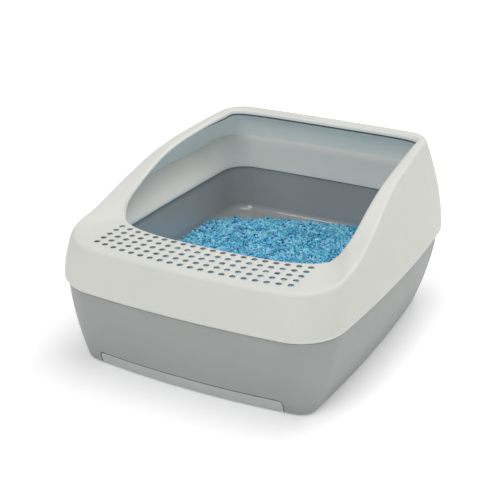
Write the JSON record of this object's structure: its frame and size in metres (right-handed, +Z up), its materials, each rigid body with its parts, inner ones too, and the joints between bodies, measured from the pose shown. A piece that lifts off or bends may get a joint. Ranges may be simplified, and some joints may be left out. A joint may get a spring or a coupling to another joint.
{
  "type": "drawer litter box",
  "caption": "Open-topped litter box: tapered base with a slide-out waste drawer, lift-out pan with slotted floor, and a high-backed hood with a perforated front step.",
  "frame": {"origin": "on the floor, under the middle of the box's length and width", "axes": "-Y towards the front step and the drawer, +Z up, +X to the right of someone who faces the box from its front"},
  "size_m": [0.472, 0.56, 0.287],
  "materials": {
    "hood_white": "satin",
    "base_grey": "satin",
    "pan_grey": "gloss",
    "litter_crystals": "granular",
    "pad_fabric": "soft",
    "foot_rubber": "matte"
  },
  "bodies": {
    "base": {"base_shell": "base_grey", "base_feet": "foot_rubber"},
    "drawer": {"drawer_tray": "base_grey", "drawer_front": "base_grey", "drawer_pad": "pad_fabric"},
    "pan": {"litter_pan": "pan_grey", "sieve_plate": "pan_grey", "litter_bed": "litter_crystals"},
    "hood": {"hood": "hood_white", "splash_guard": "hood_white"}
  },
  "joints": [
    {"name": "drawer_slide", "type": "slide", "parent": "base", "child": "drawer", "axis": [0, -1, 0], "range_m": [0, 0.38]},
    {"name": "hood_lift", "type": "slide", "parent": "base", "child": "hood", "axis": [0, 0, 1], "range_m": [0, 0.36]},
    {"name": "pan_lift", "type": "slide", "parent": "base", "child": "pan", "axis": [0, 0, 1], "range_m": [0, 0.18]}
  ],
  "couplings": [
    {"joint": "pan_lift", "follows": "hood_lift", "ratio": 0.5}
  ]
}
